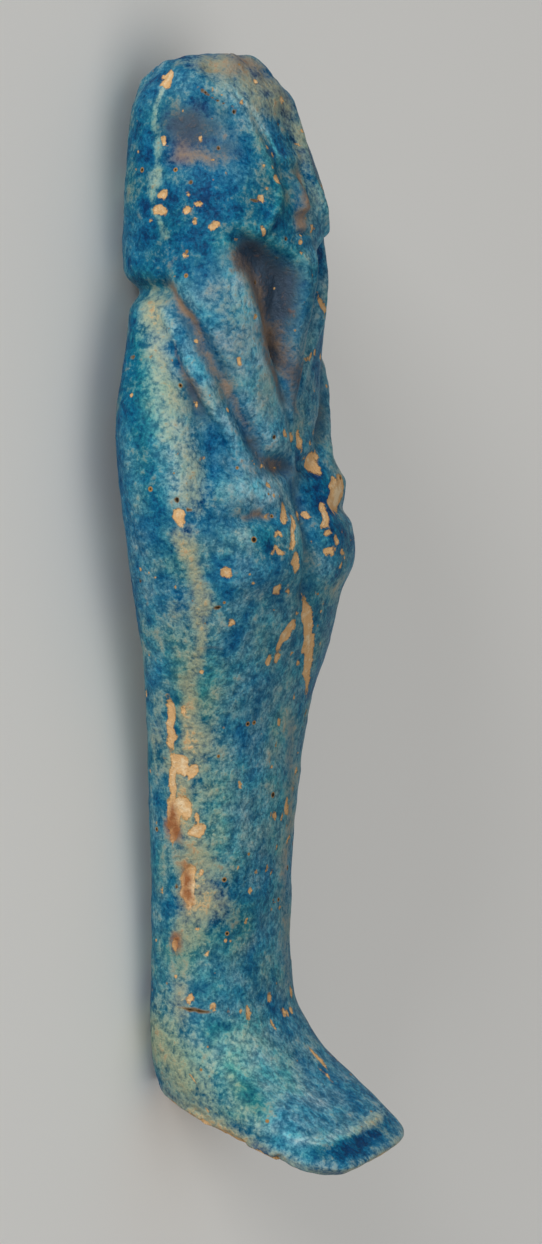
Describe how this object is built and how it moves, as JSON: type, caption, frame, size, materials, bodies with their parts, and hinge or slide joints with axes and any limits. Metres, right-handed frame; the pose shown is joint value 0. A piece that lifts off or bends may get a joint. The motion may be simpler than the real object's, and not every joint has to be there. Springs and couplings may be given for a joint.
{
  "type": "ushabti figurine",
  "caption": "Small mummy-shaped servant figure of blue glazed faience, with a long wig, short beard and crossed forearms, lying on its back.",
  "frame": {"origin": "centre of the bounding box at its lowest height, on the ground under the figure", "axes": "+X from the crown of the head to the toes, +Z out of the figure's front, -Y towards its right side"},
  "size_m": [0.1106, 0.0304, 0.0232],
  "materials": {
    "faience": "worn satin glaze"
  },
  "bodies": {
    "root": {"figurine": "faience"}
  },
  "joints": []
}
